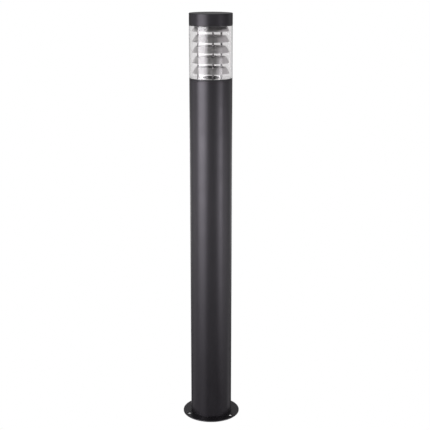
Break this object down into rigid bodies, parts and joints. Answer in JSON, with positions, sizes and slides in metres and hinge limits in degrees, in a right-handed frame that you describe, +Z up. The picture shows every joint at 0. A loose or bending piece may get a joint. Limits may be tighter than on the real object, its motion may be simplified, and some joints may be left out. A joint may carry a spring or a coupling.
{
  "type": "bollard light",
  "caption": "Slim round garden bollard light with a clear louvred head under a flat cap and a drilled base flange.",
  "frame": {"origin": "centre of the base flange's underside, where the light stands on its foundation", "axes": "+Z up along the post, -Y towards the viewer's side of the light, +X to the right seen from there"},
  "size_m": [0.1414, 0.1414, 1],
  "materials": {
    "powder_coat": "satin",
    "louvre_metal": "satin",
    "bright_plate": "polished",
    "plain_aluminium": "satin",
    "rod_steel": "satin",
    "zinc_steel": "satin",
    "brass_contact": "satin",
    "seal_rubber": "matte",
    "clear_cylinder": "gloss",
    "holder_phenolic": "satin",
    "white_plastic": "matte",
    "brown_lead": "satin",
    "blue_lead": "satin",
    "earth_lead": "satin"
  },
  "bodies": {
    "post": {"base_flange": "powder_coat", "post_tube": "powder_coat", "base_weld": "plain_aluminium", "tray_rivet_upper": "plain_aluminium", "tray_rivet_lower": "plain_aluminium", "gear_tray": "zinc_steel", "grub_screw_left": "zinc_steel", "grub_screw_right": "zinc_steel", "lampholder_screw_1": "zinc_steel", "lampholder_screw_2": "zinc_steel", "terminal_block_screw": "zinc_steel", "earth_screw": "zinc_steel", "earth_lug": "zinc_steel", "clamp_screw_1": "zinc_steel", "clamp_screw_2": "zinc_steel", "lampholder_shell": "brass_contact", "lampholder_contact": "brass_contact", "terminal_insert_1": "brass_contact", "terminal_insert_2": "brass_contact", "terminal_insert_3": "brass_contact", "lampholder_body": "holder_phenolic", "terminal_block": "white_plastic", "cable_clamp": "white_plastic", "live_lead": "brown_lead", "neutral_lead": "blue_lead", "earth_lead": "earth_lead"},
    "head": {"spigot_ring": "powder_coat", "spigot_o_ring": "seal_rubber", "lower_gasket": "seal_rubber", "reflector_plate": "bright_plate", "diffuser": "clear_cylinder", "upper_gasket": "seal_rubber", "top_cap": "powder_coat", "louvre_1": "louvre_metal", "louvre_2": "louvre_metal", "louvre_3": "louvre_metal", "louvre_4": "louvre_metal", "louvre_5": "louvre_metal", "tie_rod_1": "rod_steel", "tie_rod_2": "rod_steel", "tie_rod_3": "rod_steel", "rod_nut_1": "rod_steel", "rod_nut_2": "rod_steel", "rod_nut_3": "rod_steel", "sleeve_1_1": "rod_steel", "sleeve_1_2": "rod_steel", "sleeve_1_3": "rod_steel", "sleeve_1_4": "rod_steel", "sleeve_1_5": "rod_steel", "sleeve_2_1": "rod_steel", "sleeve_2_2": "rod_steel", "sleeve_2_3": "rod_steel", "sleeve_2_4": "rod_steel", "sleeve_2_5": "rod_steel", "sleeve_3_1": "rod_steel", "sleeve_3_2": "rod_steel", "sleeve_3_3": "rod_steel", "sleeve_3_4": "rod_steel", "sleeve_3_5": "rod_steel"}
  },
  "joints": [
    {"name": "head_lift", "type": "slide", "parent": "post", "child": "head", "axis": [0, 0, 1], "range_m": [0, 0.16]}
  ]
}
